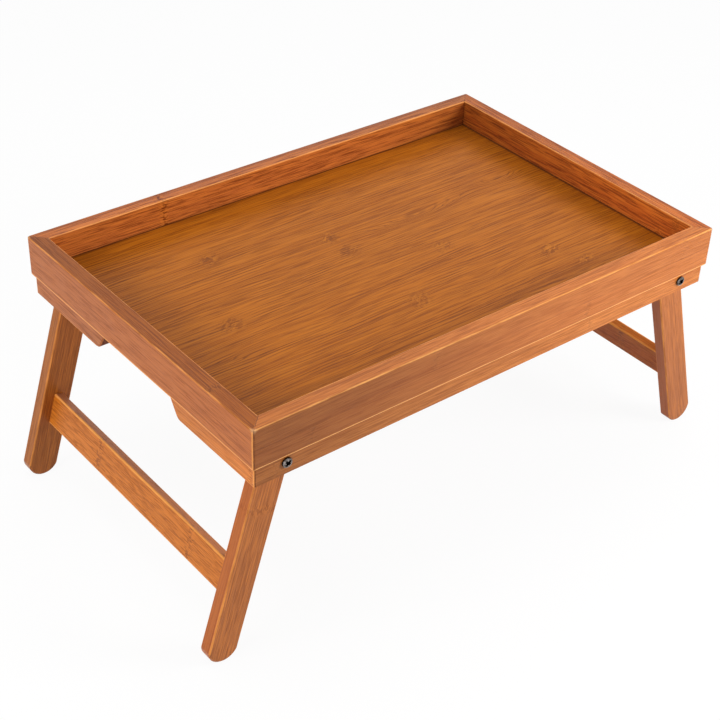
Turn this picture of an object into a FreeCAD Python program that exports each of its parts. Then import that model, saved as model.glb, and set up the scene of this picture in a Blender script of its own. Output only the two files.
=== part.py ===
import FreeCAD, Part
import math
import os

# A bamboo bed tray on two folding leg frames. Millimetres. X runs along the tray, Y across it,
# +Z is up, and the origin is on the floor under the middle of the tray.

# Upper frame: four mitred rails round the floor panel
tray_length = 500.0
tray_width = 334.0
rail_height = 38.0
rail_thickness = 14.0
rail_corner_radius = 2.4
rail_top_round = 1.2
rail_inner_round = 1.0
rail_bottom_round = 2.0

# Floor panel, with a rebated edge held in a groove in the rails
panel_depth = 25.0
panel_thickness = 5.0
panel_rebate = 1.0
panel_shoulder_play = 0.15
panel_groove = 6.0
panel_side_play = 0.5

# Loose tongue hidden in each mitre of the upper frame
tongue_thickness = 3.0
tongue_width = 9.0
tongue_height = 17.0
tongue_drop = 5.0
tongue_play = 0.1

# Lower strips, glued under the rails and set back from them
strip_height = 19.0
strip_reveal = 2.8
strip_corner_radius = 1.6
strip_bottom_ease = 1.0

# Hand-hold gap in the middle of each end, between two end strips
gap_top_width = 96.0
gap_bottom_width = 120.0
gap_corner_radius = 8.0

# Legs
leg_width = 28.0
leg_thickness = 12.6
leg_reach = 195.5
leg_lean = 16.6
leg_edge_ease = 1.0
foot_arch = 11.0
foot_corner_radius = 3.0
foot_flat_depth = 0.4

# Pivots
pivot_inset = 32.0
pivot_drop = 45.0
stop_clearance = 0.1

# Stretcher between the two legs of a frame, with a stub tenon at each end
stretcher_height = 30.0
stretcher_thickness = 9.0
stretcher_distance = 125.0
stretcher_setback = 1.4
stretcher_edge_round = 1.5
tenon_thickness = 5.0
tenon_height = 22.0
tenon_length = 7.0
tenon_fit = 0.05
tenon_end_play = 0.5

# Pivot bolts, with a nylon washer before the leg, and a steel washer and a lock nut behind it
bolt_diameter = 5.0
bolt_head_diameter = 9.0
bolt_head_height = 2.6
bolt_head_wall = 1.2
bolt_end_length = 1.0
recess_width = 5.2
recess_slot = 1.2
recess_depth = 1.7
nylon_washer_thickness = 0.6
steel_washer_thickness = 1.0
washer_diameter = 12.0
nut_width = 8.0
nut_height = 4.0
nut_collar_diameter = 7.2
nut_collar_height = 1.2
bolt_hole_clearance = 0.1
washer_hole_clearance = 0.15
nut_hole_clearance = 0.05
leg_running_clearance = 0.08
leg_side_clearance = 0.1

# How far a cutting shape runs past what it cuts, and how closely edges are told apart
cut_margin = 5.0
edge_tolerance = 0.01

# Places worked out from the sizes above
half_length = tray_length / 2
half_width = tray_width / 2
lean_angle = math.radians(leg_lean)
foot_radius = (foot_arch ** 2 + (leg_width / 2) ** 2) / (2 * foot_arch)
pivot_height = (leg_reach - foot_radius) * math.cos(lean_angle) + foot_radius - foot_flat_depth
tray_top = pivot_height + pivot_drop
rail_bottom = tray_top - rail_height
strip_bottom = rail_bottom - strip_height
panel_top = tray_top - panel_depth
panel_bottom = panel_top - panel_thickness
panel_shoulder = panel_top - panel_rebate

well_half_length = half_length - rail_thickness
well_half_width = half_width - rail_thickness

strip_half_length = half_length - strip_reveal
strip_half_width = half_width - strip_reveal
pivot_x = half_length - pivot_inset

# The inner face of the end strips, just above its eased lower edge, stops the leaning legs
stop_reach = leg_width / 2 + stop_clearance
stop_rise = strip_bottom + strip_bottom_ease - pivot_height
end_strip_face = pivot_x + (stop_reach - stop_rise * math.sin(lean_angle)) / math.cos(lean_angle)

nylon_washer_face = well_half_width - nylon_washer_thickness
leg_outer_face = nylon_washer_face - leg_side_clearance
leg_inner_face = leg_outer_face - leg_thickness
steel_washer_seat = leg_inner_face - leg_side_clearance
nut_seat = steel_washer_seat - steel_washer_thickness
bolt_end = nut_seat - nut_height - nut_collar_height - bolt_end_length
bolt_radius = bolt_diameter / 2


def vector(x, y, z):
    return FreeCAD.Vector(x, y, z)


def prism(points, direction):
    corners = [vector(*point) for point in points]
    return Part.Face(Part.makePolygon(corners + corners[:1])).extrude(direction)


def block(low, high):
    size = [end - start for start, end in zip(low, high)]
    return Part.makeBox(*size, vector(*low))


def cylinder_along_y(radius, x, start, end, z):
    return Part.makeCylinder(radius, end - start, vector(x, start, z), vector(0, 1, 0))


def rounded(shape, radius, wanted):
    edges = [edge for edge in shape.Edges if wanted(edge.BoundBox)]
    return shape.makeFillet(radius, edges).Solids[0]


def eased(shape, depth, wanted):
    edges = [edge for edge in shape.Edges if wanted(edge.BoundBox)]
    return shape.makeChamfer(depth, edges).Solids[0]


# Vertical prism with rounded upright corners
def rounded_slab(half_x, half_y, bottom, top, radius):
    slab = block((-half_x, -half_y, bottom), (half_x, half_y, top))
    return rounded(slab, radius, lambda box: box.ZLength > (top - bottom) / 2)


# Plan of one side of a mitred frame, from its outer corners in to its inner ones
def mitred_side(side, outer, inner, bottom, top):
    (outer_x, outer_y), (inner_x, inner_y) = outer, inner
    plans = {
        "front": [(-outer_x, -outer_y), (outer_x, -outer_y), (inner_x, -inner_y), (-inner_x, -inner_y)],
        "back": [(outer_x, outer_y), (-outer_x, outer_y), (-inner_x, inner_y), (inner_x, inner_y)],
        "left": [(-outer_x, outer_y), (-outer_x, -outer_y), (-inner_x, -inner_y), (-inner_x, inner_y)],
        "right": [(outer_x, -outer_y), (outer_x, outer_y), (inner_x, inner_y), (inner_x, -inner_y)],
    }
    return prism([(x, y, bottom) for x, y in plans[side]], vector(0, 0, top - bottom))


# A plate as long and wide as the well, and larger than it by the given reach
def well_plate(reach, bottom, top):
    return block(
        (-well_half_length - reach, -well_half_width - reach, bottom),
        (well_half_length + reach, well_half_width + reach, top),
    )


# The upper frame in one ring, shaped before it is parted at the mitres
def rail_ring():
    ring = rounded_slab(half_length, half_width, rail_bottom, tray_top, rail_corner_radius)
    ring = rounded(ring, rail_top_round, lambda box: box.ZMin > tray_top - edge_tolerance)
    ring = rounded(ring, rail_bottom_round, lambda box: box.ZMax < rail_bottom + edge_tolerance)
    ring = ring.cut(well_plate(0, rail_bottom - cut_margin, tray_top + cut_margin))
    inner_limit = well_half_length + rail_thickness / 2
    ring = rounded(
        ring, rail_inner_round,
        lambda box: box.ZMin > tray_top - edge_tolerance and max(box.XMax, -box.XMin) < inner_limit,
    )
    return ring.cut(well_plate(panel_groove, panel_bottom, panel_shoulder))


# Tongue or slot across the mitre at the corner on sides sign_x and sign_y
def mitre_tongue(sign_x, sign_y, play):
    top = tray_top - tongue_drop + play
    bottom = tray_top - tongue_drop - tongue_height - play
    half_span = tongue_width / 2 + play
    half_thick = tongue_thickness / 2 + play
    tongue = block((-half_span, -half_thick, bottom), (half_span, half_thick, top))
    tongue.rotate(vector(0, 0, 0), vector(0, 0, 1), -45.0 * sign_x * sign_y)
    middle = rail_thickness / 2
    tongue.translate(vector(sign_x * (half_length - middle), sign_y * (half_width - middle), 0))
    return tongue


def mitre_tongues(play):
    return [mitre_tongue(sign_x, sign_y, play) for sign_x in (-1, 1) for sign_y in (-1, 1)]


def rails():
    ring = rail_ring()
    outer = (half_length, half_width)
    inner = (well_half_length - rail_thickness, well_half_width - rail_thickness)
    pieces = {}
    for side in ("front", "back", "left", "right"):
        wedge = mitred_side(side, outer, inner, rail_bottom - cut_margin, tray_top + cut_margin)
        pieces[side + "_rail"] = ring.common(wedge).cut(mitre_tongues(tongue_play))
    return pieces


def floor_panel():
    held = well_plate(panel_groove - panel_side_play, panel_bottom, panel_shoulder)
    seen = well_plate(-panel_shoulder_play, panel_bottom, panel_top)
    return held.fuse(seen).removeSplitter()


# The lower frame of strips in one ring, before the hand-hold gaps
def strip_ring():
    ring = rounded_slab(
        strip_half_length, strip_half_width, strip_bottom, rail_bottom, strip_corner_radius
    )
    pocket = block(
        (-end_strip_face, -well_half_width, strip_bottom - cut_margin),
        (end_strip_face, well_half_width, rail_bottom + cut_margin),
    )
    return ring.cut(pocket)


# Both hand-hold gaps at once: sloping ends, wider at the bottom
def hand_hold_gap():
    slope = (gap_bottom_width - gap_top_width) / 2 / strip_height
    narrow = gap_top_width / 2 - slope * cut_margin
    wide = gap_bottom_width / 2 + slope * cut_margin
    above = rail_bottom + cut_margin
    below = strip_bottom - cut_margin
    start = -half_length - cut_margin
    outline = [(start, -wide, below), (start, wide, below), (start, narrow, above), (start, -narrow, above)]
    return prism(outline, vector(2 * (half_length + cut_margin), 0, 0))


def long_strip(ring, side, outer, inner):
    strip = ring.common(mitred_side(side, outer, inner, strip_bottom - cut_margin, rail_bottom))
    strip = eased(
        strip, strip_bottom_ease,
        lambda box: box.ZMax < strip_bottom + edge_tolerance and box.YLength < edge_tolerance,
    )
    hole_radius = bolt_radius + bolt_hole_clearance
    holes = [
        cylinder_along_y(hole_radius, x, -tray_width, tray_width, pivot_height)
        for x in (-pivot_x, pivot_x)
    ]
    return strip.cut(holes)


# The two strips of one end, parted by the gap, with its lower corners well rounded
def end_strips(ring, side, outer, inner):
    end = ring.common(mitred_side(side, outer, inner, strip_bottom - cut_margin, rail_bottom))
    strips = {}
    for solid in end.cut(hand_hold_gap()).Solids:
        solid = rounded(
            solid, gap_corner_radius,
            lambda box: box.ZMax < strip_bottom + edge_tolerance and box.YLength < edge_tolerance,
        )
        solid = eased(
            solid, strip_bottom_ease,
            lambda box: box.ZMax < strip_bottom + edge_tolerance and box.XLength < edge_tolerance,
        )
        half = "front" if solid.CenterOfMass.y < 0 else "back"
        strips[side + "_" + half + "_strip"] = solid
    return strips


def lower_strips():
    ring = strip_ring()
    outer = (strip_half_length, strip_half_width)
    inner = (end_strip_face, well_half_width)
    strips = {
        "front_lower_strip": long_strip(ring, "front", outer, inner),
        "back_lower_strip": long_strip(ring, "back", outer, inner),
    }
    for side in ("left", "right"):
        strips.update(end_strips(ring, side, outer, inner))
    return strips


# Stands a leg frame piece, drawn upright round its pivot, at its open lean
def leaned(shape, side):
    shape.rotate(vector(0, 0, 0), vector(0, 1, 0), -side * leg_lean)
    shape.translate(vector(side * pivot_x, 0, pivot_height))
    return shape


# Leg outline round the pivot: a half-round top, straight edges and an arched foot
def leg_outline():
    half = leg_width / 2
    foot_start = foot_arch - leg_reach
    points = {
        "top_left": vector(-half, 0, 0),
        "crown": vector(0, 0, half),
        "top_right": vector(half, 0, 0),
        "foot_right": vector(half, 0, foot_start),
        "foot": vector(0, 0, -leg_reach),
        "foot_left": vector(-half, 0, foot_start),
    }
    edges = [
        Part.Arc(points["top_left"], points["crown"], points["top_right"]).toShape(),
        Part.makeLine(points["top_right"], points["foot_right"]),
        Part.Arc(points["foot_right"], points["foot"], points["foot_left"]).toShape(),
        Part.makeLine(points["foot_left"], points["top_left"]),
    ]
    return Part.Wire(edges)


# The two tenons of a stretcher as one bar, or with play the bar that cuts their mortises
def tenon_bar(side, play, end_play):
    half_thick = tenon_thickness / 2 + play
    half_tall = tenon_height / 2 + play
    reach = leg_inner_face + tenon_length + end_play
    middle = -side * stretcher_setback
    return block(
        (middle - half_thick, -reach, -stretcher_distance - half_tall),
        (middle + half_thick, reach, -stretcher_distance + half_tall),
    )


# Leg on the front (end -1) or back (end 1) of the frame on the left (side -1) or right (side 1)
def leg(side, end):
    solid = Part.Face(leg_outline()).extrude(vector(0, leg_thickness, 0))
    solid = rounded(
        solid, foot_corner_radius,
        lambda box: box.XLength < edge_tolerance and box.ZLength < edge_tolerance,
    )
    solid = eased(solid, leg_edge_ease, lambda box: box.YLength < edge_tolerance)
    solid.translate(vector(0, leg_inner_face if end > 0 else -leg_outer_face, 0))
    bore = cylinder_along_y(bolt_radius + leg_running_clearance, 0, -tray_width, tray_width, 0)
    solid = leaned(solid.cut([bore, tenon_bar(side, tenon_fit, tenon_end_play)]), side)
    floor = block((-tray_length, -tray_width, -leg_reach), (tray_length, tray_width, 0))
    return solid.cut(floor)


def stretcher(side):
    half = stretcher_thickness / 2
    solid = block(
        (-half, -leg_inner_face, -stretcher_distance - stretcher_height / 2),
        (half, leg_inner_face, -stretcher_distance + stretcher_height / 2),
    )
    solid = rounded(solid, stretcher_edge_round, lambda box: box.YLength > leg_inner_face)
    solid.translate(vector(-side * stretcher_setback, 0, 0))
    return leaned(solid.fuse(tenon_bar(side, 0, 0)).removeSplitter(), side)


# One slot of the cross recess, tapered to half its width at the bottom
def recess_slot_tool():
    half, tip = recess_width / 2, recess_width / 4
    above, face, bottom = -bolt_head_height - cut_margin, -bolt_head_height, recess_depth - bolt_head_height
    outline = [(-half, above), (half, above), (half, face), (tip, bottom), (-tip, bottom), (-half, face)]
    return prism([(x, y, -recess_slot / 2) for x, y in outline], vector(0, 0, recess_slot))


# Pan head bolt along +Y, drawn round the Y axis with the underside of its head at the strip
def pivot_bolt():
    head = cylinder_along_y(bolt_head_diameter / 2, 0, -bolt_head_height, 0, 0)
    head = eased(head, bolt_head_height - bolt_head_wall, lambda box: box.YMax < -bolt_head_wall)
    for turn in (45, 135):
        slot = recess_slot_tool()
        slot.rotate(vector(0, 0, 0), vector(0, 1, 0), turn)
        head = head.cut(slot)
    shank = cylinder_along_y(bolt_radius, 0, 0, strip_half_width - bolt_end, 0)
    bolt = head.fuse(shank).removeSplitter()
    bolt.translate(vector(0, -strip_half_width, 0))
    return bolt


def washer(face, thickness):
    disc = cylinder_along_y(washer_diameter / 2, 0, -face, thickness - face, 0)
    hole = cylinder_along_y(bolt_radius + washer_hole_clearance, 0, -tray_width, 0, 0)
    return disc.cut(hole)


def lock_nut():
    corner_reach = nut_width / 2 / math.cos(math.pi / 6)
    angles = [math.pi / 3 * corner for corner in range(6)]
    outline = [(corner_reach * math.cos(turn), -nut_seat, corner_reach * math.sin(turn)) for turn in angles]
    hexagon = prism(outline, vector(0, nut_height, 0))
    collar_start = nut_height - nut_seat
    collar = cylinder_along_y(nut_collar_diameter / 2, 0, collar_start, collar_start + nut_collar_height, 0)
    hole = cylinder_along_y(bolt_radius + nut_hole_clearance, 0, -tray_width, 0, 0)
    return hexagon.fuse(collar).cut(hole)


# One copy at each pivot, turned round for the back of the tray
def at_each_pivot(shape):
    copies = []
    for x in (-pivot_x, pivot_x):
        for turn in (0, 180):
            copy = shape.copy()
            copy.rotate(vector(0, 0, 0), vector(0, 0, 1), turn)
            copy.translate(vector(x, 0, pivot_height))
            copies.append(copy)
    return Part.makeCompound(copies)


def save(node, shape):
    print(node, "valid" if shape.isValid() else "NOT VALID", len(shape.Solids))
    shape.exportStep("parts/" + node + ".step")


def main():
    os.makedirs("parts", exist_ok=True)
    pieces = rails()
    pieces["mitre_tongues"] = Part.makeCompound(mitre_tongues(0))
    pieces["floor_panel"] = floor_panel()
    pieces.update(lower_strips())
    for name, side in (("left", -1), ("right", 1)):
        pieces[name + "_front_leg"] = leg(side, -1)
        pieces[name + "_back_leg"] = leg(side, 1)
        pieces[name + "_stretcher"] = stretcher(side)
    pieces["pivot_bolts"] = at_each_pivot(pivot_bolt())
    pieces["nylon_washers"] = at_each_pivot(washer(well_half_width, nylon_washer_thickness))
    pieces["steel_washers"] = at_each_pivot(washer(steel_washer_seat, steel_washer_thickness))
    pieces["lock_nuts"] = at_each_pivot(lock_nut())
    for node, shape in pieces.items():
        save(node, shape)


main()
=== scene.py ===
import math
import bmesh
import bpy
from mathutils import Matrix, Vector


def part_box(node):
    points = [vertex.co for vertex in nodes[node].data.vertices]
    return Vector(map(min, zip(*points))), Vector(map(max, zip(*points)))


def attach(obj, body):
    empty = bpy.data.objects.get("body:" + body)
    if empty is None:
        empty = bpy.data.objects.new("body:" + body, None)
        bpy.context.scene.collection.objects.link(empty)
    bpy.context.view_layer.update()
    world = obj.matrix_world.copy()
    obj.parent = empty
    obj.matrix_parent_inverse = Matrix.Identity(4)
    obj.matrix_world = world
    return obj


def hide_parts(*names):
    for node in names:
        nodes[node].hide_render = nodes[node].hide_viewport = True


# Bamboo bed tray on two folding leg frames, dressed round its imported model. Metres.
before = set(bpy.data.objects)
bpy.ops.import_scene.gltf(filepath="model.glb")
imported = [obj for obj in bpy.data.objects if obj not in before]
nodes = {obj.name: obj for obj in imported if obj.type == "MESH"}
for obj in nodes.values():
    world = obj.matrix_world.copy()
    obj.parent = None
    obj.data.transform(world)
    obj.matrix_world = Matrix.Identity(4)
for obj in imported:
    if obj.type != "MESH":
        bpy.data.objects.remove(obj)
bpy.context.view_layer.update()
print("bed tray: frame loaded with", len(nodes), "nodes")


# small helpers for node trees

def tone(red, green, blue):
    # a colour read off a screen, 0 to 255, as linear light
    linear = []
    for part in (red / 255, green / 255, blue / 255):
        linear.append(part / 12.92 if part <= 0.04045 else ((part + 0.055) / 1.055) ** 2.4)
    return (*linear, 1.0)


def addNode(tree, kind, **settings):
    node = tree.nodes.new(kind)
    count = len(tree.nodes)
    node.location = (220 * (count % 9), -280 * (count // 9))
    for name, value in settings.items():
        setattr(node, name, value)
    return node


def feed(tree, socket, source):
    # a socket takes either a link or a plain value
    if isinstance(source, bpy.types.NodeSocket):
        tree.links.new(source, socket)
    else:
        socket.default_value = source


def maths(tree, operation, first, second=0.0, third=0.0):
    node = addNode(tree, "ShaderNodeMath", operation=operation)
    feed(tree, node.inputs[0], first)
    feed(tree, node.inputs[1], second)
    feed(tree, node.inputs[2], third)
    return node.outputs[0]


def plus(tree, first, second):
    return maths(tree, "ADD", first, second)


def minus(tree, first, second):
    return maths(tree, "SUBTRACT", first, second)


def times(tree, first, second):
    return maths(tree, "MULTIPLY", first, second)


def timesPlus(tree, first, second, third):
    return maths(tree, "MULTIPLY_ADD", first, second, third)


def vectorMaths(tree, operation, first, second=(0.0, 0.0, 0.0)):
    node = addNode(tree, "ShaderNodeVectorMath", operation=operation)
    feed(tree, node.inputs[0], first)
    feed(tree, node.inputs[1], second)
    return node.outputs["Value"] if operation in ("LENGTH", "DOT_PRODUCT") else node.outputs["Vector"]


def scaled(tree, vector, factor):
    node = addNode(tree, "ShaderNodeVectorMath", operation="SCALE")
    feed(tree, node.inputs[0], vector)
    feed(tree, node.inputs["Scale"], factor)
    return node.outputs["Vector"]


def parted(tree, vector):
    node = addNode(tree, "ShaderNodeSeparateXYZ")
    feed(tree, node.inputs[0], vector)
    return node.outputs[0], node.outputs[1], node.outputs[2]


def joined(tree, x, y, z):
    node = addNode(tree, "ShaderNodeCombineXYZ")
    feed(tree, node.inputs[0], x)
    feed(tree, node.inputs[1], y)
    feed(tree, node.inputs[2], z)
    return node.outputs[0]


def mapRange(tree, value, low, high, toLow=0.0, toHigh=1.0, kind="SMOOTHSTEP"):
    node = addNode(tree, "ShaderNodeMapRange", interpolation_type=kind)
    for socket, source in zip(node.inputs, (value, low, high, toLow, toHigh)):
        feed(tree, socket, source)
    return node.outputs[0]


def noise(tree, vector, seed, scale=1.0, detail=2.0, roughness=0.5):
    # scale is one number, or a tuple with one for each axis
    if isinstance(scale, tuple):
        vector = vectorMaths(tree, "MULTIPLY", vector, scale)
        scale = 1.0
    node = addNode(tree, "ShaderNodeTexNoise", noise_dimensions="4D")
    feed(tree, node.inputs["Vector"], vector)
    feed(tree, node.inputs["W"], seed)
    node.inputs["Scale"].default_value = scale
    node.inputs["Detail"].default_value = detail
    node.inputs["Roughness"].default_value = roughness
    return node.outputs[0]


def mixColour(tree, factor, first, second):
    node = addNode(tree, "ShaderNodeMix", data_type="RGBA")
    feed(tree, node.inputs[0], factor)
    feed(tree, node.inputs[6], first)
    feed(tree, node.inputs[7], second)
    return node.outputs[2]


def tint(tree, colour, other, mask, amount):
    # lays another colour over this one where the mask says
    return mixColour(tree, times(tree, mask, amount), colour, other)


def newGroup(name, vectors, floats, results):
    # vectors and floats go in, and every result is a float
    tree = bpy.data.node_groups.new(name, "ShaderNodeTree")
    sockets = [(label, "INPUT", "Vector") for label in vectors]
    sockets += [(label, "INPUT", "Float") for label in floats]
    sockets += [(label, "OUTPUT", "Float") for label in results]
    for label, way, kind in sockets:
        tree.interface.new_socket(name=label, in_out=way, socket_type="NodeSocket" + kind)
    given = addNode(tree, "NodeGroupInput").outputs
    result = addNode(tree, "NodeGroupOutput").inputs
    return tree, given, result


def placeGroup(tree, group, values):
    node = addNode(tree, "ShaderNodeGroup", node_tree=group)
    node.label = group.name
    for label, source in values.items():
        feed(tree, node.inputs[label], source)
    return node.outputs


# effects that the materials share

# a cut is the pair of values that a mask rises between
fibreShape = {
    "driftScale": 7.0, "wander": 1.6,
    "rowScale": (0.0, 0.8, 0.8), "stagger": 7.0,
    "streakShift": 7.3, "streakScale": (0.36, 0.9, 0.9), "streakCut": (0.55, 0.61),
    "cloudShift": 3.1, "cloudScale": (0.045, 0.07, 0.07), "cloudCut": (0.35, 0.65),
    "fibreCut": (0.51, 0.58), "fleckCut": (0.47, 0.38),
}


def makeBambooFibre(shape):
    # fine dark fibres and pale flecks along local x, longer dark streaks, and slow clouds of tone
    tree, given, result = newGroup(
        "bambooFibre", ["Vector"], ["Seed", "Fibre Length", "Fibre Width"],
        ["Fibre", "Fleck", "Streak", "Cloud"])
    seed = given["Seed"]
    cell = joined(tree, given["Fibre Length"], given["Fibre Width"], given["Fibre Width"])
    along = vectorMaths(tree, "DIVIDE", given["Vector"], cell)
    drift = noise(tree, given["Vector"], seed, scale=shape["driftScale"], detail=1.0)
    wander = times(tree, minus(tree, drift, 0.5), shape["wander"])
    rows = noise(tree, along, seed, scale=shape["rowScale"], detail=0.0)
    stagger = times(tree, rows, shape["stagger"])
    along = vectorMaths(tree, "ADD", along, joined(tree, stagger, wander, wander))
    fine = noise(tree, along, seed, detail=1.5, roughness=0.6)
    streak = plus(tree, seed, shape["streakShift"])
    streak = noise(tree, along, streak, scale=shape["streakScale"], detail=1.0)
    cloud = noise(tree, along, plus(tree, seed, shape["cloudShift"]), scale=shape["cloudScale"])
    feed(tree, result["Fibre"], mapRange(tree, fine, *shape["fibreCut"]))
    feed(tree, result["Fleck"], mapRange(tree, fine, *shape["fleckCut"]))
    feed(tree, result["Streak"], mapRange(tree, streak, *shape["streakCut"]))
    feed(tree, result["Cloud"], mapRange(tree, cloud, *shape["cloudCut"]))
    return tree


stripShape = {
    "rippleScale": (60.0, 20.0, 20.0), "breakCut": (0.35, 0.6),
}


def makeStripLamination(shape):
    # a board glued up from strips: a tone for each strip and the thin glue line between them
    tree, given, result = newGroup(
        "stripLamination", ["Vector", "Strip Size", "Strip Offset"], ["Seed", "Joint Width"],
        ["Tone", "Joint"])
    place = vectorMaths(tree, "DIVIDE", given["Vector"], given["Strip Size"])
    place = vectorMaths(tree, "ADD", place, given["Strip Offset"])
    cellY, cellZ = parted(tree, vectorMaths(tree, "FLOOR", place))[1:]
    pick = addNode(tree, "ShaderNodeTexWhiteNoise", noise_dimensions="4D")
    feed(tree, pick.inputs["Vector"], joined(tree, 0.0, cellY, cellZ))
    feed(tree, pick.inputs["W"], given["Seed"])
    within = vectorMaths(tree, "SUBTRACT", vectorMaths(tree, "FRACTION", place), (0.5, 0.5, 0.5))
    gap = vectorMaths(tree, "SUBTRACT", (0.5, 0.5, 0.5), vectorMaths(tree, "ABSOLUTE", within))
    gapY, gapZ = parted(tree, vectorMaths(tree, "MULTIPLY", gap, given["Strip Size"]))[1:]
    line = mapRange(tree, maths(tree, "MINIMUM", gapY, gapZ), given["Joint Width"], 0.0)
    ripple = noise(tree, given["Vector"], given["Seed"], scale=shape["rippleScale"])
    broken = mapRange(tree, ripple, *shape["breakCut"])
    feed(tree, result["Tone"], pick.outputs["Value"])
    feed(tree, result["Joint"], times(tree, line, broken))
    return tree


knuckleShape = {
    "ragScale": 260.0, "ragReach": 0.006,
    "patchScale": 900.0, "patches": (0.35, 0.6, 0.3, 1.0),
    "lineCut": (0.0010, 0.0003), "lineAmount": 0.5,
    "tornCut": (0.0065, 0.0015),
    "shredScale": (260.0, 760.0, 760.0), "shredCut": (0.5, 0.58),
}


def makeKnuckleMarks(shape):
    # the rings of the cane: a ragged band of short torn fibres across each strip, and a faint line in it
    tree, given, result = newGroup(
        "knuckleMarks", ["Vector"], ["Seed", "Strip Tone", "Spacing", "First", "Shift"],
        ["Mark", "Halo"])
    vector, seed = given["Vector"], given["Seed"]
    x = minus(tree, parted(tree, vector)[0], given["First"])
    shift = times(tree, given["Strip Tone"], given["Shift"])
    turns = plus(tree, maths(tree, "DIVIDE", x, given["Spacing"]), shift)
    turns = plus(tree, turns, 0.5)
    away = minus(tree, maths(tree, "FRACT", turns), 0.5)
    away = times(tree, away, given["Spacing"])
    rag = minus(tree, noise(tree, vector, seed, scale=shape["ragScale"]), 0.5)
    away = maths(tree, "ABSOLUTE", plus(tree, away, times(tree, rag, shape["ragReach"])))
    patchy = mapRange(tree, noise(tree, vector, seed, scale=shape["patchScale"]), *shape["patches"])
    line = times(tree, mapRange(tree, away, *shape["lineCut"]), shape["lineAmount"])
    torn = mapRange(tree, away, *shape["tornCut"])
    shreds = noise(tree, vector, seed, scale=shape["shredScale"], detail=1.0)
    shreds = times(tree, torn, mapRange(tree, shreds, *shape["shredCut"]))
    feed(tree, result["Mark"], maths(tree, "MAXIMUM", times(tree, line, patchy), shreds))
    feed(tree, result["Halo"], torn)
    return tree


wearAndHighlightShape = {
    "rippleScale": (45.0, 260.0, 260.0), "ripple": (0.3, 0.7, 0.75, 1.15), "core": 0.35,
}


def makeEdgeWearAndHighlight(shape):
    # how near a point is to the long edges of a board whose middle is the local origin; the boards paint
    # a highlight along this band and make it rougher as wear
    tree, given, result = newGroup(
        "edgeWearAndHighlight", ["Vector", "Half Size"], ["Width", "Lower Lift", "Seed"],
        ["Edge Band"])
    z = parted(tree, given["Vector"])[2]
    size = vectorMaths(tree, "ABSOLUTE", given["Vector"])
    insetY, insetZ = parted(tree, vectorMaths(tree, "SUBTRACT", given["Half Size"], size))[1:]
    lift = times(tree, maths(tree, "LESS_THAN", z, 0.0), given["Lower Lift"])
    insetZ = minus(tree, insetZ, lift)
    inset = plus(tree, maths(tree, "MAXIMUM", insetY, 0.0), maths(tree, "MAXIMUM", insetZ, 0.0))
    ripple = noise(tree, given["Vector"], given["Seed"], scale=shape["rippleScale"], detail=3.0,
                   roughness=0.6)
    reach = times(tree, given["Width"], mapRange(tree, ripple, *shape["ripple"]))
    feed(tree, result["Edge Band"], mapRange(tree, inset, reach, times(tree, reach, shape["core"])))
    return tree


seamShape = {
    "tone": tone(70, 32, 16), "width": 0.0006, "core": 0.3,
    "ragSeed": 4.0, "ragScale": 350.0, "ragReach": 0.0007,
    "dashSeed": 9.0, "dashScale": 170.0, "dashes": (0.38, 0.6, 0.35, 1.0),
    "gleamNear": (0.0006, 0.0012), "gleamFar": (0.0032, 0.0018), "gleamBelow": (-0.0008, -0.0024),
    "tipSize": 0.006, "tipTone": tone(236, 190, 140),
}


def makeCornerSeam(shape):
    # the dark glue line of a mitred corner, its pale tip, and a bright line down one side of it, which is
    # a painted highlight
    tree, given, result = newGroup(
        "cornerSeam", ["Vector", "Corner"], [],
        ["Seam", "Tip", "Gleam"])
    vector, width = given["Vector"], shape["width"]
    out = vectorMaths(tree, "SUBTRACT", vectorMaths(tree, "ABSOLUTE", vector), given["Corner"])
    outX, outY, outZ = parted(tree, out)
    rag = noise(tree, vector, shape["ragSeed"], scale=shape["ragScale"])
    wobble = times(tree, minus(tree, rag, 0.5), shape["ragReach"])
    offLine = plus(tree, minus(tree, outX, outY), wobble)
    line = mapRange(tree, maths(tree, "ABSOLUTE", offLine), width, width * shape["core"])
    dashes = noise(tree, vector, shape["dashSeed"], scale=shape["dashScale"])
    depth = plus(tree, plus(tree, outX, outY), outZ)
    beside = mapRange(tree, offLine, *shape["gleamNear"])
    beside = times(tree, beside, mapRange(tree, offLine, *shape["gleamFar"]))
    feed(tree, result["Gleam"], times(tree, beside, mapRange(tree, outZ, *shape["gleamBelow"])))
    feed(tree, result["Seam"], times(tree, line, mapRange(tree, dashes, *shape["dashes"])))
    feed(tree, result["Tip"], mapRange(tree, depth, -shape["tipSize"], 0.0))
    return tree


endShape = {
    "dotScale": 1500.0, "dotCut": (0.45, 0.62), "facingCut": (0.6, 0.9),
}


def makeEndGrain(shape):
    # faces cut across the grain: darker, with the dots of the fibre bundles
    tree, given, result = newGroup(
        "endGrain", ["Vector", "Normal", "Grain"], ["Seed"],
        ["End", "Pores"])
    facing = maths(tree, "ABSOLUTE", vectorMaths(tree, "DOT_PRODUCT", given["Normal"], given["Grain"]))
    dots = noise(tree, given["Vector"], given["Seed"], scale=shape["dotScale"], detail=1.0)
    feed(tree, result["End"], mapRange(tree, facing, *shape["facingCut"]))
    feed(tree, result["Pores"], mapRange(tree, dots, *shape["dotCut"]))
    return tree


lacquerShape = {
    "mottleSeed": 2.0, "mottleScale": 55.0, "mottleShare": 0.55,
    "fibreShare": 0.45, "span": (0.15, 0.85), "wearRough": 0.08,
}


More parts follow.
